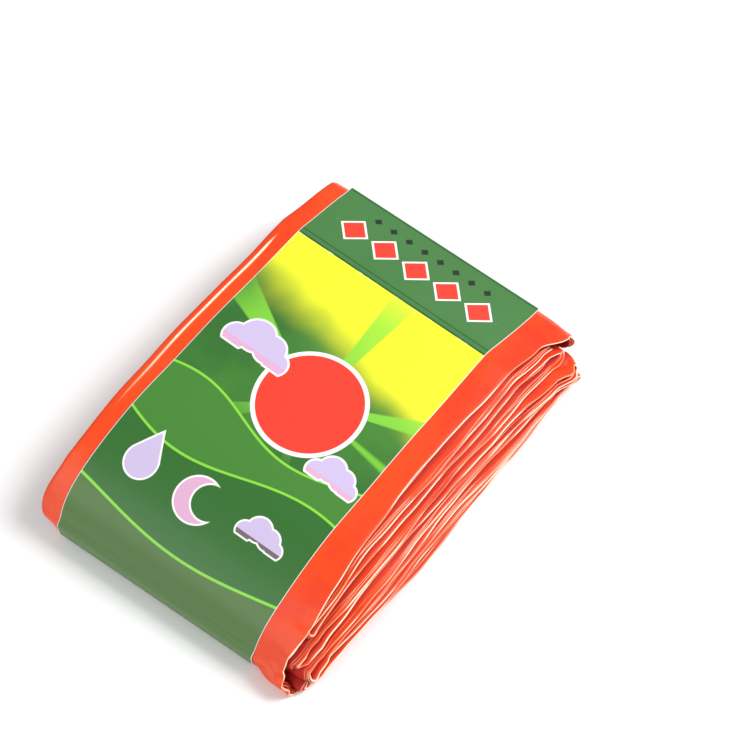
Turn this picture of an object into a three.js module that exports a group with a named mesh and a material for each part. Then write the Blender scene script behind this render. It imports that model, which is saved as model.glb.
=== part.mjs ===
// A folded emergency sleeping bag with its paper band.
// The film bag is folded eight across into a strip, and the strip is laid back and forth in ten
// layers. Its last length goes under the stack, up round the near end, over the top and down the
// far end. The band of printed paper is wrapped over the top, round the near end and underneath.
// Millimetres, +Z up, +Y towards the far end, +X towards the side where the lower folds stick out.

import * as THREE from 'three';

// The strip that the bag makes when it is folded eight across.
const STRIP_THICKNESS = 3.1;
const LAYER_COUNT = 10;
const LAYER_PITCH = 3.8;
const FOLD_RADIUS = LAYER_PITCH / 2;
const FOLD_CLEARANCE = 0.3;

// The paper band, which the whole pack rests on.
const BAND_WIDTH = 93;
const BAND_THICKNESS = 1;
const BAND_GAP = 0.35;
const BAND_FOOT_END = 84;
const BAND_OVERHANG = 4;

// The wrap: the strip's last length, from the bottom panel to the loose edge at the far end.
const NOSE_TIP_Y = -84.6;
const CREASE_Y = 58.5;
const CREASE_RADIUS = 12;
const SHOULDER_DEGREES = 19.7;
const SHOULDER_LENGTH = 31;
const FAR_DROP_RADIUS = 4;
const FAR_DROP_LENGTH = 11;

// The nose is the near end of the wrap, as arcs from the floor up. The last arc closes the height.
const NOSE_ARCS = [
  { degrees: 90, radius: 6, steps: 7 },
  { degrees: 20, radius: 10, steps: 2 },
  { degrees: 18, radius: 26, steps: 2 },
  { degrees: 21, radius: 28, steps: 3 },
];
const NOSE_LAST_ARC = { degrees: 31, steps: 6 };

// The edges of each layer, from the bottom panel up to the top panel: the left one, and the right
// one at the near end, in the middle and at the far end. Then how far its fold stops short of the
// wrap at each end.
const LAYERS = [
  { left: -47.5, near: 65.5, middle: 71.2, far: 70.6, slackNear: 0.0, slackFar: 0.0 },
  { left: -47.9, near: 67.0, middle: 71.0, far: 71.4, slackNear: 0.0, slackFar: 5.5 },
  { left: -47.2, near: 66.2, middle: 70.6, far: 72.0, slackNear: 0.0, slackFar: 5.5 },
  { left: -48.6, near: 65.8, middle: 69.2, far: 71.6, slackNear: 1.6, slackFar: 4.0 },
  { left: -50.2, near: 64.6, middle: 68.4, far: 71.0, slackNear: 1.6, slackFar: 4.0 },
  { left: -50.6, near: 64.0, middle: 66.2, far: 69.0, slackNear: 0.4, slackFar: 2.2 },
  { left: -52.0, near: 62.8, middle: 65.0, far: 66.0, slackNear: 0.4, slackFar: 2.2 },
  { left: -52.4, near: 62.6, middle: 62.6, far: 62.8, slackNear: 2.4, slackFar: 3.0 },
  { left: -53.8, near: 61.4, middle: 60.4, far: 60.6, slackNear: 2.4, slackFar: 3.0 },
  { left: -54.6, near: 60.8, middle: 57.6, far: 58.6, slackNear: 0.0, slackFar: 0.0 },
];
const EDGE_NEAR_Y = -78;
const EDGE_FAR_Y = 84;

// The unevenness of the fold edges, side to side and in how tightly each one is pressed.
const EDGE_WAVE = { height: 0.5, length: 74 };
const EDGE_RIPPLE = { height: 0.3, length: 37 };
const PINCH_LEAST = 0.58;
const PINCH_LENGTH = 61;
const LAYER_PHASE = 2.4;
const CORNER_FLARE = 4;
const NOSE_TUCK = 3.2;

// How the whole pack has settled: it waves along its length, and its right side lies lower.
const SETTLE_BASE = 4.5;
const LONG_WAVE = { height: 0.014, length: 97 };
const SHORT_WAVE = { height: 0.006, length: 43 };
const NEAR_TILT = 0.0011;
const FAR_TILT = 0.0036;
const MIDDLE_TILT = 0.0003;
const NEAR_SHEAR = 0.055;
const FAR_SHEAR = 0.042;

// Steps along the strip and round its edges. The inner layers take short steps past these places,
// where they bend down with the wrap.
const STRAIGHT_STEP = 10;
const BEND_STEP = 5.5;
const BEND_NEAR_Y = -32;
const BEND_FAR_Y = 56;
const SHOULDER_STEP = 4.5;
const CROSS_STEPS = 4;
const FOLD_STEPS = 7;
const EDGE_STEPS = 5;

const FOLD_SEARCH_START = 40;

const TOP_ROW = LAYER_COUNT - 1;
const HALF_STRIP = STRIP_THICKNESS / 2;
const FIRST_LAYER_Z = BAND_THICKNESS + BAND_GAP + HALF_STRIP;
const layerZ = (row) => FIRST_LAYER_Z + row * LAYER_PITCH;
const radians = THREE.MathUtils.degToRad;
const smoothstep = THREE.MathUtils.smoothstep;
const lerp = THREE.MathUtils.lerp;
const wave = ({ height, length }, y, phase) => height * Math.sin((2 * Math.PI * y) / length + phase);

// Walks a path in the Y-Z plane and keeps a station at each step. A station has its place, its
// heading, and the two rows of LAYERS that its edges are mixed from.
class StripWalk {
  constructor(y, z, heading) {
    this.y = y;
    this.z = z;
    this.heading = heading;
    this.stations = [];
  }

  mark(fromRow, toRow, mix) {
    const { y, z, heading } = this;
    this.stations.push({ y, z, heading, fromRow, toRow, mix });
  }

  forward(distance, row, step = STRAIGHT_STEP) {
    const steps = Math.max(1, Math.round(distance / step));
    for (let i = 0; i < steps; i += 1) {
      this.y += (distance / steps) * Math.cos(this.heading);
      this.z += (distance / steps) * Math.sin(this.heading);
      this.mark(row, row, 0);
    }
  }

  forwardTo(y, row, step = STRAIGHT_STEP) {
    this.forward(Math.abs(y - this.y), row, step);
  }

  // Lays an inner layer: short steps where it bends, and long ones in the middle.
  layTo(y, row) {
    const [first, last] = y < this.y ? [BEND_FAR_Y, BEND_NEAR_Y] : [BEND_NEAR_Y, BEND_FAR_Y];
    this.forwardTo(first, row, BEND_STEP);
    this.forwardTo(last, row);
    this.forwardTo(y, row, BEND_STEP);
  }

  // Turns along an arc, to the left for a positive angle, with the edges mixed along it.
  turn(degrees, radius, steps, fromRow, toRow, mixStart = 0, mixEnd = 1) {
    const side = Math.sign(degrees);
    const centreY = this.y - side * radius * Math.sin(this.heading);
    const centreZ = this.z + side * radius * Math.cos(this.heading);
    const start = this.heading;
    for (let i = 1; i <= steps; i += 1) {
      this.heading = start + radians(degrees) * (i / steps);
      this.y = centreY + side * radius * Math.sin(this.heading);
      this.z = centreZ - side * radius * Math.cos(this.heading);
      this.mark(fromRow, toRow, lerp(mixStart, mixEnd, i / steps));
    }
  }
}

// The wrap from the far end of the bottom panel: under the stack, up the nose, along the top, down
// the shoulder and down the far end.
function walkWrap(walk, dropLength) {
  walk.forwardTo(NOSE_TIP_Y + NOSE_ARCS[0].radius, 0);
  const noseDegrees = 180;
  let height = TOP_ROW * LAYER_PITCH;
  let turned = 0;
  for (const { degrees, radius, steps } of NOSE_ARCS) {
    height -= radius * (Math.cos(radians(turned)) - Math.cos(radians(turned + degrees)));
    const mixes = [turned / noseDegrees, (turned + degrees) / noseDegrees];
    walk.turn(-degrees, radius, steps, 0, TOP_ROW, ...mixes);
    turned += degrees;
  }
  const lastRadius = height / (1 - Math.cos(radians(NOSE_LAST_ARC.degrees)));
  walk.turn(-NOSE_LAST_ARC.degrees, lastRadius, NOSE_LAST_ARC.steps, 0, TOP_ROW, turned / noseDegrees, 1);
  walk.forwardTo(CREASE_Y, TOP_ROW);
  walk.turn(-SHOULDER_DEGREES, CREASE_RADIUS, 2, TOP_ROW, TOP_ROW);
  walk.forward(SHOULDER_LENGTH, TOP_ROW, SHOULDER_STEP);
  walk.shoulderEnd = walk.stations.length;
  walk.turn(SHOULDER_DEGREES - 90, FAR_DROP_RADIUS, 4, TOP_ROW, TOP_ROW);
  walk.forward(dropLength, TOP_ROW);
}

// The inner layers are laid square, and then their heights are scaled so that they fill the space
// under the real wrap and bend down with it at both ends. The bottom panel stays as it is.
class WrapInside {
  constructor(stations) {
    this.stations = stations;
    this.floor = layerZ(0) + HALF_STRIP;
    this.ceiling = layerZ(TOP_ROW) - HALF_STRIP;
    this.underside = stations
      .filter(({ heading }) => Math.abs(heading) < Math.PI / 2 + 0.001)
      .map(({ y, z, heading }) => ({
        y: y + HALF_STRIP * Math.sin(heading),
        z: z - HALF_STRIP * Math.cos(heading),
      }));
  }

  undersideAt(y) {
    const line = this.underside;
    const next = line.findIndex((point) => point.y > y);
    if (next === 0) return line[0].z;
    if (next < 0) return line[line.length - 1].z;
    const [a, b] = [line[next - 1], line[next]];
    return lerp(a.z, b.z, (y - a.y) / (b.y - a.y));
  }

  fit(y, z) {
    const scale = (this.undersideAt(y) - this.floor) / (this.ceiling - this.floor);
    return z < this.floor ? z : this.floor + (z - this.floor) * scale;
  }

  // Whether the round end of a fold at this place stays clear of the wrap.
  isClear(foldY, foldZ, direction, radius) {
    const least = HALF_STRIP + FOLD_CLEARANCE;
    const line = new THREE.Line3();
    const place = new THREE.Vector3();
    const nearest = new THREE.Vector3();
    return [-90, -60, -30, 0, 30, 60, 90].every((degrees) => {
      const y = foldY + direction * radius * Math.cos(radians(degrees));
      place.set(0, y, this.fit(y, foldZ + radius * Math.sin(radians(degrees))));
      return this.stations.slice(1).every((station, i) => {
        line.start.set(0, this.stations[i].y, this.stations[i].z);
        line.end.set(0, station.y, station.z);
        return line.closestPointToPoint(place, true, nearest).distanceTo(place) > least;
      });
    });
  }

  // Where the centre of a fold can lie, going from the middle of the pack towards one end.
  foldEnd(direction, foldZ, radius, slack) {
    let y = direction * FOLD_SEARCH_START;
    while (this.isClear(y + direction * 0.25, foldZ, direction, radius)) y += direction * 0.25;
    return y - direction * slack;
  }
}

// The whole strip, from its hidden inner end under the top panel to the loose far edge. The wrap
// is walked once before, with its loose edge let down to the floor, to find where the inner folds
// must stop.
function walkStrip() {
  const guide = new StripWalk(0, layerZ(0), Math.PI);
  walkWrap(guide, layerZ(TOP_ROW));
  const inside = new WrapInside(guide.stations);
  const innerRow = TOP_ROW - 1;
  const foldZ = (row) => (layerZ(row) + layerZ(row - 1)) / 2;
  const freeEnd = inside.foldEnd(1, layerZ(innerRow), HALF_STRIP, LAYERS[innerRow].slackFar);
  const walk = new StripWalk(freeEnd, layerZ(innerRow), Math.PI);
  walk.mark(innerRow, innerRow, 0);
  for (let row = innerRow; row > 0; row -= 1) {
    const towardsNear = row % 2 === 0;
    const direction = towardsNear ? -1 : 1;
    const slack = towardsNear ? LAYERS[row].slackNear : LAYERS[row].slackFar;
    walk.layTo(inside.foldEnd(direction, foldZ(row), FOLD_RADIUS + HALF_STRIP, slack), row);
    walk.turn(towardsNear ? 180 : -180, FOLD_RADIUS, FOLD_STEPS, row, row - 1);
  }
  walk.wrapStart = walk.stations.length - 1;
  for (const station of walk.stations) station.inside = inside;
  walkWrap(walk, FAR_DROP_LENGTH);
  return walk;
}

// The right edge of a row of LAYERS at a place along the pack, with its wave.
function rowRightEdge(row, y) {
  const { near, middle, far } = LAYERS[row];
  const towardsEnd = y < 0 ? smoothstep(y / EDGE_NEAR_Y, 0, 1) : smoothstep(y / EDGE_FAR_Y, 0, 1);
  const phase = row * LAYER_PHASE;
  const flare = row === TOP_ROW ? CORNER_FLARE * smoothstep(y, EDGE_FAR_Y - 6, EDGE_FAR_Y + 8) : 0;
  return lerp(middle, y < 0 ? near : far, towardsEnd)
    + wave(EDGE_WAVE, y, phase) + wave(EDGE_RIPPLE, y, 2 * phase) + flare;
}

// How thick a pressed fold edge is, as a share of the strip, at a place along a row.
function pinch(row, y, phase) {
  const swing = 0.5 + 0.5 * Math.sin((2 * Math.PI * y) / PINCH_LENGTH + row * LAYER_PHASE + phase);
  return lerp(PINCH_LEAST, 1, swing);
}

// The outline of the strip at a station, as points across the width and through the thickness:
// flat faces between two rounded fold edges, right edge first, counter-clockwise.
function stripOutline({ y, fromRow, toRow, mix }) {
  const tuck = Math.abs(toRow - fromRow) > 1 ? NOSE_TUCK * Math.sin(Math.PI * mix) : 0;
  const right = lerp(rowRightEdge(fromRow, y), rowRightEdge(toRow, y), mix) - tuck;
  const edgeRow = lerp(fromRow, toRow, mix);
  const leftWave = wave(EDGE_WAVE, y, 1 + edgeRow * LAYER_PHASE) / 2;
  const left = lerp(LAYERS[fromRow].left, LAYERS[toRow].left, mix) + leftWave;
  const outline = [];
  const addEdge = (edgeX, side, firstAngle, share) => {
    for (let i = 0; i <= EDGE_STEPS; i += 1) {
      const angle = firstAngle + (Math.PI * i) / EDGE_STEPS;
      const thickness = HALF_STRIP * lerp(share, 1, Math.abs(Math.sin(angle)) ** 4);
      outline.push({
        x: edgeX + HALF_STRIP * (Math.cos(angle) - side),
        h: thickness * Math.sin(angle),
      });
    }
  };
  addEdge(right, 1, -Math.PI / 2, pinch(edgeRow, y, 0));
  outline.push(...crossPoints(right, left, HALF_STRIP));
  addEdge(left, -1, Math.PI / 2, pinch(edgeRow, y, 2));
  outline.push(...crossPoints(left, right, -HALF_STRIP));
  return outline;
}

// The points between two edges on one face, without the edges themselves.
function crossPoints(fromX, toX, h) {
  const shares = Array.from({ length: CROSS_STEPS - 1 }, (_, i) => (i + 1) / CROSS_STEPS);
  return shares.map((share) => ({ x: lerp(fromX, toX, share), h }));
}

// Settles a point of the flat, square model into the uneven pack. Below the base nothing moves up
// or down, so the foot of the band stays flat.
function settle(x, y, z) {
  const near = smoothstep(-y, 28, 78);
  const far = smoothstep(y, 56, 96);
  const tilt = MIDDLE_TILT * (1 - near - far) + NEAR_TILT * near + FAR_TILT * far;
  const lift = wave(LONG_WAVE, y, 1.2) + wave(SHORT_WAVE, y, 0.4) - tilt * x;
  const settledZ = z + Math.max(0, z - SETTLE_BASE) * lift;
  const settledY = y + x * (NEAR_SHEAR * near + FAR_SHEAR * far);
  return [x, settledY, settledZ];
}

// A closed body from the outlines at the stations of a path. offset moves it out along the normal,
// which points away from the pack on the wrap.
function sweep(stations, outlineAt, offset) {
  const positions = [];
  for (const station of stations) {
    const normalY = -Math.sin(station.heading);
    const normalZ = Math.cos(station.heading);
    for (const { x, h } of outlineAt(station)) {
      const y = station.y + (h + offset) * normalY;
      const z = station.z + (h + offset) * normalZ;
      positions.push(...settle(x, y, station.inside ? station.inside.fit(y, z) : z));
    }
  }
  const ring = outlineAt(stations[0]).length;
  const last = (stations.length - 1) * ring;
  const indices = [];
  for (let start = 0; start < last; start += ring) {
    for (let j = 0; j < ring; j += 1) {
      const a = start + j;
      const b = start + ((j + 1) % ring);
      indices.push(a, a + ring, b + ring, a, b + ring, b);
    }
  }
  for (let j = 1; j < ring - 1; j += 1) {
    indices.push(0, j, j + 1);
    indices.push(last, last + j + 1, last + j);
  }
  const geometry = new THREE.BufferGeometry();
  geometry.setAttribute('position', new THREE.Float32BufferAttribute(positions, 3));
  geometry.setIndex(indices);
  geometry.computeVertexNormals();
  return geometry;
}

// The band follows the wrap from under the stack to the end of the shoulder, where its cut edge
// stands a little past the fold.
function bandStations(walk) {
  const wrap = walk.stations.slice(walk.wrapStart, walk.shoulderEnd);
  const stations = wrap.filter(({ y, heading }) => heading < Math.PI - 0.01 || y < BAND_FOOT_END);
  const end = { ...stations[stations.length - 1] };
  end.y += BAND_OVERHANG * Math.cos(end.heading);
  end.z += BAND_OVERHANG * Math.sin(end.heading);
  return [...stations, end];
}

function bandOutline() {
  const side = BAND_WIDTH / 2;
  const half = BAND_THICKNESS / 2;
  return [
    { x: side, h: -half },
    { x: side, h: half },
    ...crossPoints(side, -side, half),
    { x: -side, h: half },
    { x: -side, h: -half },
    ...crossPoints(-side, side, -half),
  ];
}

const strip = walkStrip();

const foldedBag = new THREE.Mesh(
  sweep(strip.stations, stripOutline, 0),
  new THREE.MeshStandardMaterial({ color: 0xff5632, roughness: 0.35, metalness: 0 }),
);
foldedBag.name = 'folded_bag';

const bandOffset = HALF_STRIP + BAND_GAP + BAND_THICKNESS / 2;
const paperBand = new THREE.Mesh(
  sweep(bandStations(strip), bandOutline, bandOffset),
  new THREE.MeshStandardMaterial({ color: 0x4f9a45, roughness: 0.45, metalness: 0 }),
);
paperBand.name = 'paper_band';

// The part's origin is the middle of its box, at the floor.
const part = new THREE.Group();
part.add(foldedBag, paperBand);
const box = new THREE.Box3().setFromObject(part);
const centre = box.getCenter(new THREE.Vector3());
for (const piece of part.children) {
  piece.position.set(-centre.x, -centre.y, -box.min.z);
}

export default part;
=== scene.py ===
import bpy
import numpy as np
from mathutils import Matrix, Vector


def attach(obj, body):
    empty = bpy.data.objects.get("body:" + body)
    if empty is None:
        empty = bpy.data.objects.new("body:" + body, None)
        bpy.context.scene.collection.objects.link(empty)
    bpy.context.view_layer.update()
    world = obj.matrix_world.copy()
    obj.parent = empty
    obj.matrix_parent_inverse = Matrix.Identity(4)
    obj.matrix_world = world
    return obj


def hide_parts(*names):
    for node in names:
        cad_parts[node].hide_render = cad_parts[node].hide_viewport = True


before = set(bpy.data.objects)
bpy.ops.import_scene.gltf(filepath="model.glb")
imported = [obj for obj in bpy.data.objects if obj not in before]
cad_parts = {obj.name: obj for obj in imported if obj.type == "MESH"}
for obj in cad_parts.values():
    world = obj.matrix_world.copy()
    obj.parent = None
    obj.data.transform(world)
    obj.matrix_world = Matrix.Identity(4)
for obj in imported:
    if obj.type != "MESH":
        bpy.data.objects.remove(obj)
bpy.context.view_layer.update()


# The sleeping bag
# One flat tube of thin orange polyethylene, folded in half three times to a strip of eight plies
# that is laid back and forth. Its last length goes under the stack, up round the near end, over
# the top and down the far end, where it hangs loose. Lengths here are in millimetres.

MM = 0.001
PACK_CENTRE = np.array([8.672, 4.212, 0.0])

# The plies' spacing, and the level on which each ply of the tube lies, from one side to the other.
PLY_GAP = 0.45
PLY_LEVELS = (1, 6, 5, 2, 3, 4, 7, 0)
TOP_LEVEL = 7
HALF_STRIP = PLY_GAP * TOP_LEVEL / 2

# The right side of the strip has a thick fold, a thin one and the tube's two sides, as edges 0 to 3
# from the top: the edge of each low level, and how far each edge stands out past its anchor.
EDGE_OF_LEVEL = {3: 1, 2: 1, 1: 2, 0: 3}
EDGE_REACH = (0.9, 0.5, 0.4, 0.1)

# How strongly the folds take their painted highlight, with some stress whitening, where 1 is full:
# a right fold from this radius up, the left folds, and the tube's own sides.
WHITE_HIGHLIGHT_RADIUS = 1.4 * PLY_GAP
LEFT_BEND_HIGHLIGHT = 0.36
TUBE_SIDE_HIGHLIGHT = 0.7

# The layers: the bottom and top panels' heights, the end folds between two layers, and how near to
# the wrap a fold and the strip's inner end may come.
LAYER_COUNT = 10
TOP_ROW = LAYER_COUNT - 1
BOTTOM_Z = 2.15
TOP_Z = 37.1
LAYER_PITCH = (TOP_Z - BOTTOM_Z) / TOP_ROW
FOLD_RADIUS = LAYER_PITCH / 2
FOLD_REACH = FOLD_RADIUS + 2 * HALF_STRIP + 0.55
END_REACH = 2 * HALF_STRIP + 0.5

# The wrap's outline: the near end's arcs as degrees and radii, the corner they replace, and the
# shoulder with its crease, slope and loose end.
NOSE_TIP_Y = -84.6
NOSE_ARCS = ((90, 6), (20, 10), (18, 26), (21, 28))
NOSE_LAST_TURN = 31
NOSE_CORNER_RADIUS = 16
CREASE_Y = 58.5
CREASE_RADIUS = 12
SHOULDER_TURN = 19.7
SHOULDER_LENGTH = 31
FAR_DROP_RADIUS = 4
FAR_DROP_LENGTH = 16

# The edges of each layer from the bottom panel up: the left one, the right one at the near end, in
# the middle and at the far end, how far its fold stops short of the wrap at each end, and how much
# thinner its right edge gets towards its ends, where dark pockets open.
LAYER_COLUMNS = ("left", "near", "middle", "far", "slack_near", "slack_far", "pocket")
LAYER_ROWS = np.array((
    (-47.5, 65.5, 71.2, 70.6, 0.0, 0.0, 0.1),
    (-47.9, 67.0, 71.0, 71.4, 0.0, 5.5, 0.35),
    (-47.2, 66.2, 70.6, 72.0, 0.0, 5.5, 0.1),
    (-48.6, 65.8, 69.2, 71.6, 1.6, 4.0, 0.0),
    (-50.2, 64.6, 68.4, 71.0, 1.6, 4.0, 0.45),
    (-50.6, 64.0, 66.2, 69.0, 0.4, 2.2, 0.1),
    (-52.0, 62.8, 65.0, 66.0, 0.4, 2.2, 0.5),
    (-52.4, 62.6, 62.6, 62.8, 2.4, 3.0, 0.2),
    (-53.8, 61.4, 60.4, 60.6, 2.4, 3.0, 0.55),
    (-54.6, 60.8, 57.6, 58.6, 0.0, 0.0, 0.1),
))
LAYERS = dict(zip(LAYER_COLUMNS, LAYER_ROWS.T))
EDGE_NEAR_Y = -78
EDGE_FAR_Y = 84
POCKET_RAMP = (50, 74)
TOP_EDGE_CALM = 0.45
CORNER_FLARE = 4
FLARE_RAMP = (78, 92)
NOSE_TUCK = 2.4
NOSE_EAR = 3.2
NOSE_EAR_MIX = 0.66

# The thickness at the sides as a share of the plies' own: its middle, swing and least.
PINCH = (0.8, 0.2, 0.5)
LEAN_MARGIN = 0.04

# Between which y or x the ends settle, the sides overhang, and the film crumples beside the band.
NEAR_RAMP = (28, 78)
FAR_RAMP = (56, 96)
OVERHANG_RAMP = (47, 56)
BESIDE_BAND_RAMP = (47.2, 54)
NEAR_CRUMPLE_RAMP = (58, 80)
FAR_CRUMPLE_RAMP = (70, 88)

# The settling, from this height up: waves as share, length and phase, tilts to the right, and ends
# askew. The lowest folds beside the band droop to the floor.
SETTLE_BASE = 4.5
SETTLE_WAVES = ((0.014, 97, 1.2), (0.006, 43, 0.4))
NEAR_TILT = 0.0011
FAR_TILT = 0.0036
MIDDLE_TILT = 0.0003
NEAR_SHEAR = 0.055
FAR_SHEAR = 0.042
FLOOR_DROOP = 0.35

# How far the near right corner bulges, the crumpling and dents with the lengths of their waves, and
# the crease on the top panel with its way in from the left edge.
BULGE = 3.2
NEAR_CRUMPLE = 3.0
FAR_CRUMPLE = 3.6
CRUMPLE_LENGTHS = (8, 24)
DENT = 0.25
DENT_LENGTHS = (24, 70)
CREASE_INSET = 2.5
CREASE_WIDTH = 0.8
CREASE_HEIGHT = 0.35

# How finely paths are drawn: arcs by a number of steps, and straights by a step's length.
FOLD_STEPS = 9
CORNER_STEPS = 16
SHOULDER_STEPS = 6
EDGE_STEPS = 12
STRAIGHT_STEP = 2.5
RISE_STEP = 1.5
DROP_STEP = 2
GUIDE_STEP = 1
FOLD_SEARCH = (40, 110, 0.25)


def smooth(value, start, end):
    """0 before start and 1 after end, with the cubic 3t^2 - 2t^3 between."""
    t = np.clip((value - start) / (end - start), 0, 1)
    return t * t * (3 - 2 * t)


def layer_z(row):
    """The height of a layer's middle: one pitch for each layer above the bottom panel."""
    return BOTTOM_Z + row * LAYER_PITCH


def walk(y, z, heading, moves):
    """Carries a point along straights and arcs in the Y-Z plane. A move is a length, a turn in
    degrees, a number of steps, two rows and the mixes of the second row at its start and end. The
    heading turns evenly, and the place is the closed integral of its cosine and sine."""
    columns = []
    for length, turn, steps, row_a, row_b, mix_a, mix_b in moves:
        t = np.arange(1, steps + 1) / steps
        angle = np.radians(turn)
        headings = heading + angle * t
        if turn:
            ys = y + length / angle * (np.sin(headings) - np.sin(heading))
            zs = z - length / angle * (np.cos(headings) - np.cos(heading))
        else:
            ys = y + length * t * np.cos(heading)
            zs = z + length * t * np.sin(heading)
        mixes = mix_a + (mix_b - mix_a) * t
        columns.append(np.stack([ys, zs, headings, t * 0 + row_a, t * 0 + row_b, mixes]))
        y, z, heading = ys[-1], zs[-1], headings[-1]
    return np.concatenate(columns, axis=1)


def straight(length, step, row):
    """A move straight on beside one row of the table."""
    return (length, 0, max(2, round(length / step)), row, row, 0, 0)


def arc(turn, radius, steps, row_a, row_b, mix_a=0, mix_b=1):
    """A move round an arc while the edges go over from one row of the table to another."""
    return (np.radians(abs(turn)) * radius, turn, steps, row_a, row_b, mix_a, mix_b)


def nose_moves():
    """Moves round the near end over its arcs, of which the last closes the height."""
    moves, height, turned = [], TOP_Z - BOTTOM_Z, 0
    for turn, radius in NOSE_ARCS + ((NOSE_LAST_TURN, None),):
        rise = np.cos(np.radians(turned)) - np.cos(np.radians(turned + turn))
        radius = radius or height / rise
        height -= radius * rise
        steps = max(3, round(np.radians(turn) * radius / GUIDE_STEP))
        moves.append(arc(-turn, radius, steps, 0, TOP_ROW, turned / 180, (turned + turn) / 180))
        turned += turn
    return moves


# The real outline of the wrap, with its sloping nose and shoulder.
outline_moves = nose_moves()
nose_start = (NOSE_TIP_Y + NOSE_ARCS[0][1], BOTTOM_Z, np.pi)
nose = walk(*nose_start, outline_moves)
outline_moves += [
    straight(CREASE_Y - nose[0, -1], GUIDE_STEP, TOP_ROW),
    arc(-SHOULDER_TURN, CREASE_RADIUS, SHOULDER_STEPS, TOP_ROW, TOP_ROW),
    straight(SHOULDER_LENGTH, GUIDE_STEP, TOP_ROW),
    arc(SHOULDER_TURN - 90, FAR_DROP_RADIUS, EDGE_STEPS, TOP_ROW, TOP_ROW),
]
outline = walk(*nose_start, outline_moves)
FAR_END_Y = outline[0, -1]


def wrap_moves(start_y, drop, step):
    """The wrap's moves round a square pack: under the stack, up the near end, along the top and
    down the far end."""
    lower, upper = NOSE_ARCS[0][1], NOSE_CORNER_RADIUS
    rise = TOP_Z - BOTTOM_Z - lower - upper
    middle_a = lower / (TOP_Z - BOTTOM_Z)
    middle_b = 1 - upper / (TOP_Z - BOTTOM_Z)
    flat = FAR_END_Y - FAR_DROP_RADIUS - NOSE_TIP_Y - upper
    return [
        straight(start_y - NOSE_TIP_Y - lower, step, 0),
        arc(-90, lower, FOLD_STEPS, 0, TOP_ROW, 0, middle_a),
        (rise, 0, max(2, round(rise / RISE_STEP)), 0, TOP_ROW, middle_a, middle_b),
        arc(-90, upper, CORNER_STEPS, 0, TOP_ROW, middle_b, 1),
        straight(flat, step, TOP_ROW),
        arc(-90, FAR_DROP_RADIUS, FOLD_STEPS, TOP_ROW, TOP_ROW),
        straight(drop, DROP_STEP, TOP_ROW),
    ]


# The pack is built square first. Every height is then scaled down with the real outline, so that
# all the layers bend together into the nose and under the shoulder.
def upper_height(path, ys):
    """The height of a path's upper half at these places, where its heading is within 90 degrees."""
    upper = (path[2] < np.pi / 2 + 0.001) & (path[2] > -np.pi / 2 + 0.001)
    return np.interp(ys, path[0][upper], path[1][upper])


guide = walk(0, BOTTOM_Z, np.pi, wrap_moves(0, TOP_Z, GUIDE_STEP))
SQUASH_Y = np.linspace(NOSE_TIP_Y + 0.2, FAR_END_Y - 0.2, 360)
SQUASH_SHARE = upper_height(outline, SQUASH_Y) / upper_height(guide, SQUASH_Y)


def squash(y, z):
    """A height in the square pack brought down to the real one: z times the real outline's height
    over the square one's at y."""
    return z * np.interp(y, SQUASH_Y, SQUASH_SHARE)


def fold_stop(direction, z, reach, slack):
    """The last place, going out from the middle, where a fold is still clear of the wrap."""
    ys = direction * np.arange(*FOLD_SEARCH)
    gaps = np.hypot(guide[0][None, :] - ys[:, None], guide[1][None, :] - z).min(axis=1)
    return ys[np.argmax(gaps < reach) - 1] - direction * slack


inner_row = TOP_ROW - 1
y_now = fold_stop(1, layer_z(inner_row), END_REACH, LAYERS["slack_far"][inner_row])
strip_start = (y_now, layer_z(inner_row), np.pi)
strip_moves = []
for row in range(inner_row, 0, -1):
    towards_near = row % 2 == 0
    direction = -1 if towards_near else 1
    slack = LAYERS["slack_near" if towards_near else "slack_far"][row]
    y_next = fold_stop(direction, layer_z(row - 0.5), FOLD_REACH, slack)
    strip_moves.append(straight(abs(y_next - y_now), STRAIGHT_STEP, row))
    strip_moves.append(arc(180 if towards_near else -180, FOLD_RADIUS, FOLD_STEPS, row, row - 1))
    y_now = y_next
wrap_first = sum(move[2] for move in strip_moves)
strip_moves += wrap_moves(y_now, FAR_DROP_LENGTH, STRAIGHT_STEP)
strip_y, strip_z, strip_heading, row_a, row_b, row_mix = walk(*strip_start, strip_moves)
row_a, row_b = row_a.astype(int), row_b.astype(int)

rng = np.random.default_rng(11)


def row_waves(lengths, heights):
    """Waves of its own for each row, as a function of row and y: a sum of sines whose phases are
    drawn once."""
    lengths, heights = np.array(lengths), np.array(heights)
    phases = rng.uniform(0, 2 * np.pi, (LAYER_COUNT, len(lengths)))

    def value(row, y):
        turns = 2 * np.pi * y[:, None] / lengths[None, :]
        return (heights * np.sin(turns + phases[row])).sum(axis=1)

    return value


def mixed(value, *places):
    """A row's value at each station, mixed between the two rows that it lies between."""
    return (1 - row_mix) * value(row_a, *places) + row_mix * value(row_b, *places)


right_waves = row_waves((210, 96, 47, 23), (0.8, 0.35, 0.12, 0.05))
left_waves = row_waves((160, 70, 33), (0.25, 0.2, 0.12))
pinch_waves = row_waves((170, 83, 37, 19), (0.4, 0.3, 0.12, 0.05))
lean_waves = row_waves((270, 150, 61, 27), (0.5, 0.3, 0.1, 0.03))


def right_edge(row, y):
    """The right edge of a row: from its middle value to its end values by a smooth step, with the
    row's waves and the flare of the top panel's far corner."""
    towards = np.where(y < 0, smooth(y / EDGE_NEAR_Y, 0, 1), smooth(y / EDGE_FAR_Y, 0, 1))
    end = np.where(y < 0, LAYERS["near"][row], LAYERS["far"][row])
    flare = np.where(row == TOP_ROW, CORNER_FLARE * smooth(y, *FLARE_RAMP), 0)
    waves = np.where(row == TOP_ROW, TOP_EDGE_CALM, 1) * right_waves(row, y)
    return LAYERS["middle"][row] * (1 - towards) + end * towards + waves + flare


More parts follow.
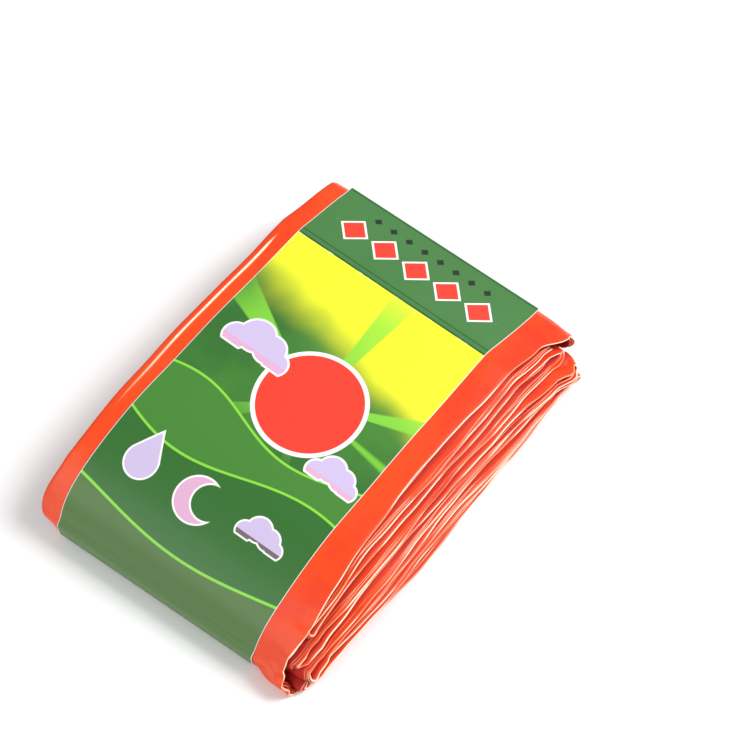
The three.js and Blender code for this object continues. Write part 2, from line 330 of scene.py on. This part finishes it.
round_nose = row_b - row_a > 1
strip_right = mixed(right_edge, strip_y) - NOSE_TUCK * round_nose * np.sin(np.pi * row_mix)
strip_left = mixed(lambda row, y: LAYERS["left"][row] + left_waves(row, y), strip_y)
nose_ear = smooth(row_mix, 0.3, NOSE_EAR_MIX) * (1 - smooth(row_mix, NOSE_EAR_MIX, 1))
strip_left = strip_left - NOSE_EAR * round_nose * nose_ear
pinch_middle, pinch_swing, pinch_least = PINCH
strip_pinch = np.clip(pinch_middle + pinch_swing * mixed(pinch_waves, strip_y), pinch_least, 1)
pocket_ramp = smooth(np.abs(strip_y), *POCKET_RAMP)
strip_pinch = strip_pinch * (1 - mixed(lambda row: LAYERS["pocket"][row]) * pocket_ramp)
lean_room = LAYER_PITCH / 2 - LEAN_MARGIN - HALF_STRIP * strip_pinch
strip_lean = lean_room * np.clip(mixed(lean_waves, strip_y), -1, 1)


def ply_profile():
    """The section of the folded strip as one line through its eight plies, from the tube's one
    side to the other, with one closed fold round them all on the left. A point has its share of
    the way from the left anchor to the right one, its offset from there, its height through the
    strip, how strongly it takes a fold's painted highlight and whitening, how far it faces upwards,
    and its edge on the right. Folds are half circles about the height between two plies."""
    outer_left = tuple((0, run) for run in (0.6, 1.2, 1.8, 2.5, 3.4, 6, 11))
    outer_left += ((0.35, 0), (0.65, 0))
    inner_left = tuple((0, run) for run in (5, 14))
    right = tuple((1, -run) for run in (18, 12, 8, 5, 2.5, 1))
    points = []
    for panel, level in enumerate(PLY_LEVELS):
        height = (level - TOP_LEVEL / 2) * PLY_GAP
        edge = EDGE_OF_LEVEL.get(level, 0)
        across = (outer_left if level in (0, TOP_LEVEL) else inner_left) + right
        if edge > 1:
            across += ((1, -0.35),)
        forward = panel % 2 == 1
        points += [(*place, height, 0, 0, edge) for place in (across if forward else across[::-1])]
        if panel + 1 == len(PLY_LEVELS):
            break
        next_height = (PLY_LEVELS[panel + 1] - TOP_LEVEL / 2) * PLY_GAP
        middle, radius = (height + next_height) / 2, abs(next_height - height) / 2
        steps = 2 + round(2.4 * radius / PLY_GAP)
        side = 1 if forward else -1
        for angle in np.pi * np.arange(steps + 1) / steps:
            # A fold's painted highlight, with some stress whitening: full at its tip, more on thick
            # right folds, less on the left ones.
            fold_white_share = 0.5 + 0.5 * min(1, radius / WHITE_HIGHLIGHT_RADIUS) if forward else LEFT_BEND_HIGHLIGHT
            bend_highlight = fold_white_share * np.sin(angle) ** 2
            reach = side * radius * np.sin(angle)
            facing = np.sign(height - middle) * np.cos(angle)
            points.append((max(side, 0), reach, middle + radius * facing, bend_highlight, facing, edge))
    first_side = (1, 0, PLY_GAP - HALF_STRIP, TUBE_SIDE_HIGHLIGHT, 0, 2)
    last_side = (1, 0, -HALF_STRIP, TUBE_SIDE_HIGHLIGHT, 0, 3)
    return np.array([first_side] + points + [last_side]).T


share, offset, height, bend_highlight, facing, edge = ply_profile()
edge = edge.astype(int)
edge_shift = np.array([
    reach + mixed(row_waves((150, 66, 31, 15), (0.4, 0.35, 0.15, 0.05)), strip_y)
    for reach in EDGE_REACH
])

# Every point of the strip: rows are stations along the path and columns are points of the section.
right_anchor = strip_right - HALF_STRIP
left_anchor = strip_left + HALF_STRIP / 2
x = left_anchor[:, None] + (right_anchor - left_anchor)[:, None] * share[None, :] + offset[None, :]
station_y, station_z = strip_y[:, None], strip_z[:, None]
near_right_edge = smooth(x - strip_right[:, None], -11, 0.6)
near_left_edge = 1 - smooth(x - strip_left[:, None], 1, 8)
shift = edge_shift[edge].T * near_right_edge
x = x + shift
squeeze = 1 + (strip_pinch[:, None] - 1) * np.maximum(near_right_edge, 0.6 * near_left_edge)
lift = height[None, :] * squeeze + strip_lean[:, None] * near_right_edge
normal_y, normal_z = -np.sin(strip_heading)[:, None], np.cos(strip_heading)[:, None]
y = station_y + lift * normal_y
z = station_z + lift * normal_z


def crumple(points, seed, shortest, longest, count=26):
    """Creased noise in three components at points: the mean of folded plane waves |sin(k.p + a)|
    with random directions, less their average. Close points move together, so no layer crosses
    its neighbour."""
    draw = np.random.default_rng(seed)
    moved = np.zeros(points.shape)
    for axis in range(3):
        directions = draw.normal(size=(count, 3))
        directions /= np.linalg.norm(directions, axis=1, keepdims=True)
        waves = directions * (np.pi / draw.uniform(shortest, longest, count))[:, None]
        creases = np.abs(np.sin(points @ waves.T + draw.uniform(0, np.pi, count)))
        moved[..., axis] = (creases - 2 / np.pi).mean(axis=-1) * np.sqrt(count)
    return moved


def settle(x, y, z):
    """Settles the square pack into the uneven one: it waves along its length, its right side lies
    lower at both ends, its ends are askew, and the overhanging bottom folds sink to the floor."""
    near, far = smooth(-y, *NEAR_RAMP), smooth(y, *FAR_RAMP)
    z = squash(y, z)
    tilt = MIDDLE_TILT * (1 - near - far) + NEAR_TILT * near + FAR_TILT * far
    waves = sum(
        size * np.sin(2 * np.pi * y / length + phase) for size, length, phase in SETTLE_WAVES
    )
    settled_z = z + np.maximum(0, z - SETTLE_BASE) * (waves - tilt * x)
    overhang = smooth(np.abs(x), *OVERHANG_RAMP)
    settled_z -= FLOOR_DROOP * overhang * np.clip(1 - z / TOP_Z, 0, 1)
    return np.stack([x, y + x * (NEAR_SHEAR * near + FAR_SHEAR * far), settled_z], axis=-1)


# The top panel's left edge has a raised crease along it, a little way in from the fold.
from_left = x - strip_left[:, None]
outer_ply = (height[None, :] > HALF_STRIP - 0.01) & (row_a == TOP_ROW)[:, None]
crease_run = smooth(station_y, -66, -20) * (1 - smooth(station_y, 44, 64))
left_crease = outer_ply * crease_run * np.exp(-(((from_left - CREASE_INSET) / CREASE_WIDTH) ** 2))
z = z + CREASE_HEIGHT * left_crease

# The lower layers bulge out at the near right corner. Both right corners are crumpled, and the
# whole side is dented, with less room up and down near the floor.
points = np.stack([x, y, z], axis=-1)
beside_band = smooth(x, *BESIDE_BAND_RAMP)
bulge = BULGE * smooth(x, BESIDE_BAND_RAMP[0], 60) * (1 - smooth(z, 12, 34))
points[..., 0] += bulge * smooth(-y, 0, 55)
points[..., 1] -= bulge * smooth(-y, 30, 76)
near_corner = beside_band * smooth(-y, *NEAR_CRUMPLE_RAMP)
far_corner = beside_band * smooth(y, *FAR_CRUMPLE_RAMP) * (1 - 0.7 * smooth(z, 26, 36))
room = smooth(z, 0, 7)[..., None] * np.array([0, 0, 1]) + np.array([1, 1, 0])
corner_size = NEAR_CRUMPLE * near_corner + FAR_CRUMPLE * far_corner
points += crumple(points, 3, *CRUMPLE_LENGTHS) * corner_size[..., None] * room
points += crumple(points, 5, *DENT_LENGTHS) * DENT * beside_band[..., None] * room
points = settle(points[..., 0], points[..., 1], points[..., 2])


def grid_mesh(name, points, closed_ring=False):
    """A mesh on a grid of points in millimetres, rows by columns, moved into the part's frame."""
    rows, columns = points.shape[:2]
    index = np.arange(rows * columns).reshape(rows, columns)
    across = np.concatenate([index, index[:, :1]], axis=1) if closed_ring else index
    corners = (across[:-1, :-1], across[1:, :-1], across[1:, 1:], across[:-1, 1:])
    quads = np.stack(corners, axis=-1).reshape(-1, 4)
    mesh = bpy.data.meshes.new(name)
    vertices = ((points - PACK_CENTRE) * MM).reshape(-1, 3)
    mesh.from_pydata(vertices.tolist(), [], quads.tolist())
    mesh.polygons.foreach_set("use_smooth", np.ones(len(quads), bool))
    mesh.update()
    return mesh


def add_uv(mesh, u, v):
    """A UV map from one u and v for each vertex."""
    loops = np.zeros(len(mesh.loops), np.int32)
    mesh.loops.foreach_get("vertex_index", loops)
    layer = mesh.uv_layers.new(name="UVMap")
    layer.uv.foreach_set("vector", np.stack([u.ravel()[loops], v.ravel()[loops]], axis=-1).ravel())


def add_value(mesh, name, values):
    """A named number for each vertex."""
    layer = mesh.attributes.new(name, "FLOAT", "POINT")
    layer.data.foreach_set("value", values.ravel().astype(np.float32))


def running(steps):
    """The length run at each point of a line, from the steps between its points."""
    return np.concatenate([[0], np.cumsum(steps)])


def linked(name, data):
    """An object in the scene for a mesh, light or camera."""
    piece = bpy.data.objects.new(name, data)
    bpy.context.scene.collection.objects.link(piece)
    return piece


film_mesh = grid_mesh("film_bag", points)
section = np.stack([x[0], lift[0]], axis=-1)
run_across = running(np.linalg.norm(np.diff(section, axis=0), axis=1))
run_along = running(np.hypot(np.diff(strip_y), np.diff(squash(strip_y, strip_z))))
u = np.broadcast_to(run_across[None, :] / run_along[-1], x.shape)
v = np.broadcast_to(run_along[:, None] / run_along[-1], x.shape)
add_uv(film_mesh, u, v)

# How strongly a fold takes its painted highlight and whitening: less where it faces down, away
# from the light. Glint says on which stretches it does.
upward = facing[None, :] * np.cos(strip_heading)[:, None]
lit = 0.3 + 0.7 * smooth(upward, -0.3, 0.3)
add_value(film_mesh, "bend_highlight", bend_highlight[None, :] * lit)
# The raised crease carries a painted highlight along the left edge.
add_value(film_mesh, "crease", left_crease)
add_value(film_mesh, "crumple", np.maximum(near_corner, far_corner))
stretch = row_waves((88, 47, 24), (0.6, 0.5, 0.25))
glint = 0.5 + 0.5 * np.clip(mixed(stretch, strip_y), -1, 1)
add_value(film_mesh, "glint", np.broadcast_to(glint[:, None], x.shape))

# Painted shade, deep red: in the gaps behind the edges, under the layer above, on the lower
# halves of the folds, and most at the ends. On the outside of the wrap it is only the painted shade
# on the roll of the left fold.
on_wrap = (np.arange(len(strip_y)) >= wrap_first)[:, None]
outside = on_wrap & (height[None, :] > 0.5 * HALF_STRIP)
behind_edge = smooth(strip_right[:, None] - EDGE_REACH[0] + shift - x, 0.45, 1.5)
edge_above = mixed(lambda row, y: right_edge(np.minimum(row + 1, TOP_ROW), y), strip_y)[:, None]
covered = smooth(edge_above - x, -1.6, 0.6) * (0.8 + 0.2 * smooth(np.abs(station_y), 40, 66))
inside_gap_shade = np.maximum(behind_edge * covered, 0.35 * (1 - lit))
left_roll_shade = 0.5 * (1 - smooth(from_left, -0.7, 1.0))
add_value(film_mesh, "gap_shade", np.where(outside, left_roll_shade, inside_gap_shade))
film_bag = linked("film_bag", film_mesh)


class Finish:
    """One procedural material on a Principled shader."""

    def __init__(self, name):
        self.material = bpy.data.materials.new(name)
        self.material.use_nodes = True
        self.tree = self.material.node_tree
        self.shader = self.tree.nodes["Principled BSDF"]

    def node(self, kind, settings=None, inputs=None, output=0):
        """Adds a node, sets its settings and then its sockets, and gives one output."""
        node = self.tree.nodes.new(kind)
        for key, setting in (settings or {}).items():
            setattr(node, key, setting)
        for key, entry in (inputs or {}).items():
            self.feed(node.inputs[key], entry)
        return Field(self, node.outputs[output])

    def feed(self, socket, entry):
        """Links a field to a socket, or sets the socket to a constant."""
        if isinstance(entry, Field):
            self.tree.links.new(entry.socket, socket)
        else:
            socket.default_value = entry

    def surface(self, **entries):
        """Feeds the Principled shader's sockets, with spaces written as underscores."""
        for key, entry in entries.items():
            self.feed(self.shader.inputs[key.replace("_", " ")], entry)

    def mix(self, first, second, factor):
        """A colour between two colours."""
        sockets = {0: factor, 6: first, 7: second}
        return self.node("ShaderNodeMix", {"data_type": "RGBA"}, sockets, 2)

    def noise(self, vector, scale, detail=3.0, roughness=0.5):
        """Cloudy noise about 0.5."""
        sockets = {"Vector": vector, "Scale": scale, "Detail": detail, "Roughness": roughness}
        return self.node("ShaderNodeTexNoise", {}, sockets)

    def object_place(self):
        """The place of a point in the object's own coordinates, in metres."""
        return self.node("ShaderNodeTexCoord", output=3)

    def attribute(self, name):
        """A value that the mesh has for each vertex."""
        return self.node("ShaderNodeAttribute", {"attribute_name": name}, output=2)

    def bump(self, strength, distance, height):
        """A normal that is tilted by a relief."""
        sockets = {"Strength": strength, "Distance": distance, "Height": height}
        return self.node("ShaderNodeBump", {}, sockets)

    def stretched(self, vector, factors):
        """A vector scaled by a factor on each axis."""
        settings = {"operation": "MULTIPLY"}
        return self.node("ShaderNodeVectorMath", settings, {0: vector, 1: factors})


class Field:
    """A number or colour that varies over a surface: a shader socket with arithmetic."""

    def __init__(self, finish, socket):
        self.finish = finish
        self.socket = socket

    def math(self, operation, *others):
        """A Math node on this field and the others."""
        inputs = dict(enumerate((self, *others)))
        return self.finish.node("ShaderNodeMath", {"operation": operation}, inputs)

    def __add__(self, other):
        return self.math("ADD", other)

    def __sub__(self, other):
        return self.math("SUBTRACT", other)

    def __rsub__(self, other):
        return self.finish.node("ShaderNodeMath", {"operation": "SUBTRACT"}, {0: other, 1: self})

    def __mul__(self, other):
        return self.math("MULTIPLY", other)

    def __truediv__(self, other):
        return self.math("DIVIDE", other)

    __radd__ = __add__
    __rmul__ = __mul__

    def least(self, other):
        """The smaller of two fields: two shapes joined."""
        return self.math("MINIMUM", other)

    def most(self, other):
        """The larger of two fields: what two shapes share."""
        return self.math("MAXIMUM", other)

    def magnitude(self):
        """The field without its sign."""
        return self.math("ABSOLUTE")

    def step(self, start, end):
        """0 at start and 1 at end, smooth between and clamped."""
        settings = {"interpolation_type": "SMOOTHSTEP"}
        return self.finish.node("ShaderNodeMapRange", settings, {0: self, 1: start, 2: end})


def paint(red, green, blue):
    """A print or dye colour, from display values of 0 to 255 to the linear colour of a socket."""
    display = np.array([red, green, blue]) / 255
    linear = np.where(display < 0.04045, display / 12.92, ((display + 0.055) / 1.055) ** 2.4)
    return (*linear.tolist(), 1.0)


# The film's own orange in three random tones, a peach and a cream for painted highlights with some
# whitening, and a deep red for painted shade.
FILM_ORANGE = paint(232, 68, 12)
FILM_DEEP = paint(222, 50, 6)
FILM_PALE = paint(236, 92, 46)
FILM_WHITE_HIGHLIGHT = paint(252, 228, 200)
FILM_BLUSH_HIGHLIGHT = paint(244, 142, 100)
FILM_SHADE = paint(172, 2, 0)

film = Finish("orange_film")
place = film.object_place()
gap_shade = film.attribute("gap_shade")
blotches = film.noise(film.stretched(place, (30, 22, 60)), 1.0, 4.0, 0.6)
along = film.noise(film.stretched(place, (40, 16, 140)), 1.0, 3.0, 0.55)
fine = film.noise(film.stretched(place, (260, 160, 900)), 1.0, 4.0, 0.6)

# Painted highlights, with some stress whitening, along the folds and the raised crease, in patches.
patches = (film.attribute("glint") * 0.9 + along * 0.6 + fine * 0.15).step(0.55, 1.1)
fold_white_highlight = film.attribute("bend_highlight").step(0.1, 0.52) * (0.35 + 0.65 * patches)
crease_white_highlight = film.attribute("crease").step(0.3, 1.0) * (0.6 + 0.4 * patches)
white_highlight = fold_white_highlight.most(crease_white_highlight)
film_colour = film.mix(FILM_DEEP, FILM_ORANGE, blotches.step(0.25, 0.55))
film_colour = film.mix(film_colour, FILM_PALE, blotches.step(0.56, 0.8) * 0.55)
# Painted shade in the gaps, under the layers and on the folds' lower halves.
film_colour = film.mix(film_colour, FILM_SHADE, gap_shade * 0.95)
film_colour = film.mix(film_colour, FILM_BLUSH_HIGHLIGHT, white_highlight.step(0.02, 0.4))
film_colour = film.mix(film_colour, FILM_WHITE_HIGHLIGHT, white_highlight.step(0.3, 0.75))

# Fine wrinkles all over, and sharp creases in the crumpled corners, where a noise crosses 0.5.
wrinkles = film.noise(film.stretched(place, (150, 70, 150)), 1.0, 5.0, 0.6)
creases = (film.noise(film.stretched(place, (150, 90, 150)), 1.0, 1.0, 0.5) - 0.5).magnitude()
relief = wrinkles + fine * 0.3 + creases.step(0.0, 0.16) * film.attribute("crumple") * 1.5
film.surface(
    Base_Color=film_colour,
    Roughness=0.24 + 0.22 * fine + 0.35 * gap_shade,
    Specular_IOR_Level=0.4,
    Normal=film.bump(0.22, 0.0006, relief),
)
film_mesh.materials.append(film.material)

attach(film_bag, "root")
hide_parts("folded_bag")


# The printed band
# A strip of coated card, cut square, laid over the top of the pack, creased round its shoulder,
# bent round the near end and passed underneath. It holds the folds by its own stiffness. The print
# is a plain landscape on the outer face, and the inner face is bare white card.

BAND_WIDTH = 93
BAND_THICKNESS = 0.36
BAND_LIFT = HALF_STRIP + 0.28
FOOT_LIFT = BOTTOM_Z - BAND_THICKNESS
FOOT_RISE = 12
BAND_FOOT_END = 84
BAND_FAR_Y = 88
BAND_END_Y = 95.5
BAND_COLUMNS = 30
CUT_COLUMNS = (0, 0.05, 0.12)
CUT_MARGIN = 0.4

# The card follows the wrap's path from its foot to the shoulder, and runs on straight from there.
wrap_path = np.array([strip_y, strip_z, strip_heading])[:, wrap_first:]
path_y, _, path_heading = wrap_path
in_foot = (path_y < BAND_FOOT_END) | (path_heading < np.pi - 0.01)
before_drop = (path_heading > -0.01) & (path_y < BAND_FAR_Y)
band_y, band_z, band_heading = wrap_path[:, in_foot & before_drop]
band_y = np.append(band_y, [0.5 * band_y[-1] + 0.5 * BAND_END_Y, BAND_END_Y])
band_z = np.append(band_z, band_z[-1:].repeat(2))
band_heading = np.append(band_heading, band_heading[-1:].repeat(2))
risen = smooth(band_z, BOTTOM_Z, BOTTOM_Z + FOOT_RISE)
band_lift = FOOT_LIFT + (BAND_LIFT - FOOT_LIFT) * risen

# Its section is a ring: the printed side from right to left and the bare one back, with a few
# columns close to the cut sides, which keep these sharp.
half_width = BAND_WIDTH / 2
cut_side = half_width - np.array(CUT_COLUMNS)
between = np.linspace(half_width - CUT_MARGIN, CUT_MARGIN - half_width, BAND_COLUMNS)
across = np.concatenate([cut_side, between, -cut_side[::-1]])
band_x = np.concatenate([across, across[::-1]])
band_side = np.repeat([1.0, 0.0], len(across))
band_out = band_lift[:, None] + BAND_THICKNESS * band_side[None, :]
x = np.broadcast_to(band_x[None, :], band_out.shape)
y = band_y[:, None] - band_out * np.sin(band_heading)[:, None]
z = band_z[:, None] + band_out * np.cos(band_heading)[:, None]
band_points = settle(x, y, z)
on_floor = (band_heading > np.pi - 0.01)[:, None] & (band_side > 0.5)[None, :]
band_points[..., 2] = np.where(on_floor, 0, band_points[..., 2])

band_mesh = grid_mesh("card_band", band_points, closed_ring=True)
run_back = running(np.hypot(np.diff(band_y), np.diff(squash(band_y, band_z))))
band_length = run_back[-1]
from_far_edge = 1 - run_back[:, None] / band_length
add_uv(band_mesh, x / band_length + 0.5, np.broadcast_to(from_far_edge, x.shape))
add_value(band_mesh, "printed_side", np.broadcast_to(band_side[None, :], x.shape))
card_band = linked("card_band", band_mesh)

# The print is drawn with signed distances, in millimetres to the right of the middle and down from
# the far edge.
HEADER_DEPTH = 38.7
EDGE_BLUR = 0.14
LEAF = paint(66, 119, 60)
LEAF_DARK = paint(26, 88, 42)
LEMON = paint(255, 255, 40)
MEADOW = paint(64, 126, 44)
MEADOW_DARK = paint(44, 104, 38)
OLIVE = paint(74, 112, 50)
SPRING = paint(129, 209, 58)
SUN_RED = paint(240, 58, 40)
LILAC = paint(198, 183, 219)
PINK = paint(215, 168, 201)
MAUVE_GREY = paint(108, 99, 101)
PRINT_BLACK = paint(22, 44, 26)
CARD_WHITE = paint(244, 244, 240)

card = Finish("printed_card")
uv = card.node("ShaderNodeUVMap", {"uv_map": "UVMap"})
side_ways = (card.node("ShaderNodeSeparateXYZ", {}, {0: uv}) - 0.5) * band_length
down = card.node("ShaderNodeSeparateXYZ", {}, {0: uv}, 1) * band_length


def inside(distance):
    """1 inside a shape and 0 outside, from its signed distance in millimetres."""
    return distance.step(EDGE_BLUR, -EDGE_BLUR)


def disc(centre, radius):
    """The signed distance from a round disc of the print."""
    across, along = side_ways - centre[0], down - centre[1]
    return (across * across + along * along).math("SQRT") - radius


def ridge(depth, swing, length, phase):
    """The signed distance below a rolling skyline: depth + swing sin(x / length + phase)."""
    return depth + (side_ways / length + phase).math("SINE") * swing - down


def puffs(centre, size):
    """The signed distance from a cloud: discs side by side, cut off flat below."""
    places = ((-0.62, 0.10, 0.36), (-0.18, -0.22, 0.48), (0.34, -0.10, 0.42), (0.72, 0.14, 0.32))
    shape = None
    for across, along, radius in places:
        puff = disc((centre[0] + across * size, centre[1] + along * size), radius * size)
        shape = puff if shape is None else shape.least(puff)
    return shape.most(down - (centre[1] + 0.34 * size))


def drop_shape(centre, size):
    """The signed distance from a raindrop: a disc, and the cone of its two tangents from a tip two
    radii above its centre."""
    across = (side_ways - centre[0]).magnitude()
    cone = across * 0.866 + (centre[1] - down) * 0.5 - size
    return disc(centre, size).least(cone.most(down - (centre[1] - 0.5 * size)))


def crescent(centre, size):
    """The signed distance from a crescent moon: one disc with another cut out of it."""
    cut_centre = (centre[0] + 0.5 * size, centre[1] - 0.18 * size)
    return disc(centre, size).most(0 - disc(cut_centre, 0.86 * size))


def stamp(ground, distance, colour, outline=0.0, outline_colour=None):
    """Prints a shape over a ground, with an outline round it where one is given."""
    if outline:
        ground = card.mix(ground, outline_colour, inside(distance - outline))
    return card.mix(ground, colour, inside(distance))


# Below the header: a meadow under a lemon sky, beams from the sun, hills, two clouds, and a drop, a
# crescent and a rain cloud in a row.
SUN_CENTRE = (7, 97)
SUN_RADIUS = 21
print_tint = card.noise(uv, 7.0, 3.0, 0.55)
meadow = card.mix(MEADOW_DARK, MEADOW, print_tint.step(0.36, 0.62))
glow = down - 0.27 * side_ways + 26 * (print_tint - 0.5)
print_colour = card.mix(LEMON, meadow, glow.step(56, 82))
beam_angle = (side_ways - SUN_CENTRE[0]).math("ARCTAN2", SUN_CENTRE[1] - down)
beams = (beam_angle * 11).math("COSINE") + 0.5 * (beam_angle * 5 + 1).math("SINE")
beam_fade = disc(SUN_CENTRE, 0).step(74, 40) * (down - SUN_CENTRE[1]).step(30, 0)
print_colour = card.mix(print_colour, SPRING, beams.step(0.75, 1.0) * beam_fade * 0.85)
print_colour = stamp(print_colour, disc(SUN_CENTRE, SUN_RADIUS), SUN_RED, 1.8, CARD_WHITE)
hills = (
    (ridge(118, 5, 15, 0.6), MEADOW),
    (ridge(137, -6, 19, -0.4), MEADOW_DARK),
    (ridge(171, 4, 23, 1.4), OLIVE),
)
for hill, tone in hills:
    print_colour = stamp(print_colour, hill, tone, 1.0, SPRING)
for centre, size in (((-25, 90), 15), ((33, 116), 11)):
    cloud = puffs(centre, size)
    print_colour = stamp(print_colour, cloud, LILAC, 0.8, CARD_WHITE)
    belly = cloud.most((centre[1] + 0.14 * size) - down)
    print_colour = card.mix(print_colour, PINK, inside(belly))
print_colour = stamp(print_colour, drop_shape((-29, 153), 6.5), LILAC, 0.7, CARD_WHITE)
print_colour = stamp(print_colour, crescent((-2, 153), 9), PINK, 0.7, CARD_WHITE)
rain_cloud = puffs((26, 151), 10)
print_colour = stamp(print_colour, rain_cloud, LILAC, 0.7, CARD_WHITE)
print_colour = card.mix(print_colour, MAUVE_GREY, inside(rain_cloud.most(152.6 - down)))


def lozenges(depth, pitch, half_height, count):
    """The signed distance from a row of lozenges: |x'| + |y'| less the half height, where x' is
    folded back and forth at each pitch."""
    start = 40 + 0.5 * ((count + 1) % 2)
    folded = (side_ways / pitch + start).math("PINGPONG", 0.5) * pitch
    row = (folded * 1.15 + (down - depth).magnitude() - half_height) * 0.66
    return row.most(side_ways.magnitude() - count * pitch / 2)


header = card.mix(LEAF, LEAF_DARK, print_tint.step(0.45, 0.85) * 0.3)
header = stamp(header, lozenges(20.5, 15.4, 6.6, 5), SUN_RED, 0.9, CARD_WHITE)
header = stamp(header, lozenges(8.5, 7.7, 2.1, 8), PRINT_BLACK)
for line_depth, line_half in ((0.9, 0.35), (HEADER_DEPTH - 3.0, 0.3), (HEADER_DEPTH - 0.45, 0.45)):
    line = (down - line_depth).magnitude() - line_half
    header = card.mix(header, LEAF_DARK, inside(line))
print_colour = card.mix(print_colour, header, inside(down - HEADER_DEPTH))

# The bare card shows along its cut edges and, where the print is scuffed, on the crease.
scuff = card.noise(card.stretched(uv, (60, 240, 1)), 1.0, 5.0, 0.7)
cut_edge = side_ways.magnitude().step(BAND_WIDTH / 2 - 0.35, BAND_WIDTH / 2 - 0.15)
cut_edge = cut_edge.most(down.step(0.35, 0.15))
crease = (down - HEADER_DEPTH).magnitude().step(0.5, 0.0) * scuff.step(0.5, 0.66)
print_colour = card.mix(print_colour, CARD_WHITE, (cut_edge * 0.8).most(crease * 0.6))
printed_side = card.attribute("printed_side").step(0.4, 0.6)
card_waves = card.noise(card.object_place(), 38.0, 2.0, 0.5)
card_grain = card.noise(card.object_place(), 900.0, 2.0, 0.5)
card.surface(
    Base_Color=card.mix(CARD_WHITE, print_colour, printed_side),
    Roughness=0.3 + 0.12 * scuff,
    IOR=1.48,
    Normal=card.bump(0.25, 0.0008, card_waves + card_grain * 0.01),
)
band_mesh.materials.append(card.material)

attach(card_band, "root")
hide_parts("paper_band")


# The studio
# A plain pale floor under a bright even sky, with a soft light from behind on the right and a weak
# broad one from the front, much as the pack was lit, and the camera at the photograph's place.

FLOOR_HALF = 3.0
CLIP_START = 0.05
floor_mesh = bpy.data.meshes.new("floor")
floor_signs = ((-1, -1), (1, -1), (1, 1), (-1, 1))
floor_corners = [(right * FLOOR_HALF, far * FLOOR_HALF, 0) for right, far in floor_signs]
floor_mesh.from_pydata(floor_corners, [], [(0, 1, 2, 3)])
floor = linked("floor", floor_mesh)
plain = Finish("plain_floor")
plain.surface(Base_Color=(0.9, 0.9, 0.9, 1), Roughness=0.9)
floor_mesh.materials.append(plain.material)

world = bpy.data.worlds.new("studio")
world.use_nodes = True
world.node_tree.nodes["Background"].inputs["Color"].default_value = (1, 1, 1, 1)
world.node_tree.nodes["Background"].inputs["Strength"].default_value = 0.5
bpy.context.scene.world = world
bpy.context.scene.view_settings.view_transform = "Standard"


def soft_light(name, place, size, power):
    """A square area light that looks at the pack."""
    data = bpy.data.lights.new(name, "AREA")
    data.size, data.energy = size, power
    light = linked(name, data)
    light.location = place
    light.rotation_euler = (-Vector(place)).to_track_quat("-Z", "Y").to_euler()


soft_light("back_light", (0.5, 0.6, 0.9), 0.5, 13)
soft_light("front_fill", (-0.2, -1.0, 0.6), 1.0, 6)

CAMERA_PLACE = np.array([225.55, -238.51, 638.60])
CAMERA_AZIMUTH = np.radians(38.07)
CAMERA_ELEVATION = np.radians(60.76)
FOCAL_PIXELS = 1789.3
PICTURE_PIXELS = 750
SENSOR_WIDTH = 36

camera_data = bpy.data.cameras.new("camera")
camera_data.sensor_width = SENSOR_WIDTH
camera_data.lens = FOCAL_PIXELS / PICTURE_PIXELS * SENSOR_WIDTH
camera_data.clip_start = CLIP_START
camera = linked("camera", camera_data)
back = Vector((
    np.sin(CAMERA_AZIMUTH) * np.cos(CAMERA_ELEVATION),
    -np.cos(CAMERA_AZIMUTH) * np.cos(CAMERA_ELEVATION),
    np.sin(CAMERA_ELEVATION),
))
turned = (-back).to_track_quat("-Z", "Y").to_matrix().to_4x4()
camera.matrix_world = Matrix.Translation(Vector((CAMERA_PLACE - PACK_CENTRE) * MM)) @ turned
bpy.context.scene.camera = camera
